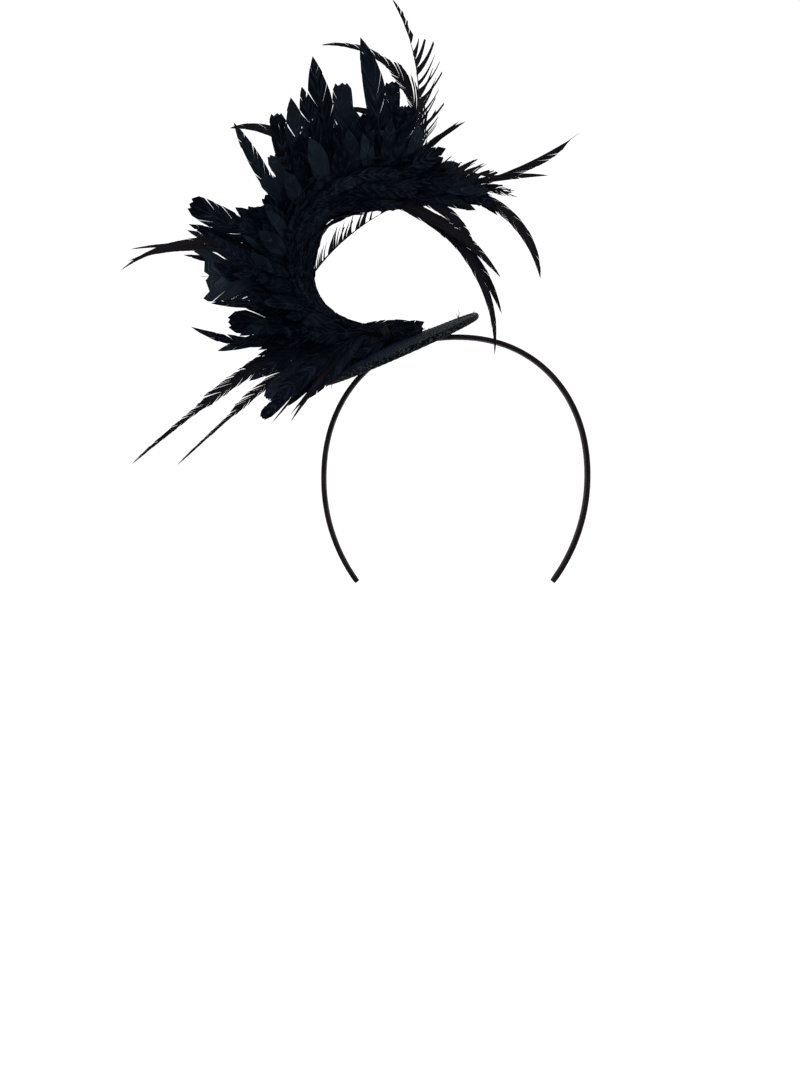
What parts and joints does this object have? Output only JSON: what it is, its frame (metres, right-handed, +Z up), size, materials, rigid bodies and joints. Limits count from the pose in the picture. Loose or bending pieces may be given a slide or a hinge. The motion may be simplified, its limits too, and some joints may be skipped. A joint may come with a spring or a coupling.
{
  "type": "feather fascinator headband",
  "caption": "Black feather fascinator: a curl of broad feathers and long thin hackles on a small domed woven disc, carried on a thin satin headband",
  "frame": {"origin": "underside of the headband at its crown, half way across the band's width", "axes": "+Z up from the head, -Y the side that the picture shows, +X the side that the curl opens to"},
  "size_m": [0.2624, 0.0953, 0.3235],
  "materials": {
    "black_satin": "satin",
    "black_weave": "matte",
    "black_bias_edge": "matte",
    "black_thread": "matte",
    "black_feather_foot": "satin",
    "black_feather_body": "satin",
    "black_feather_hackle": "satin"
  },
  "bodies": {
    "root": {"headband": "black_satin", "base_disc": "black_weave", "rim_binding": "black_bias_edge", "foot_binding": "black_thread", "foot_spray": "black_feather_foot", "feather_crescent": "black_feather_body", "tail_spray": "black_feather_hackle"}
  },
  "joints": []
}
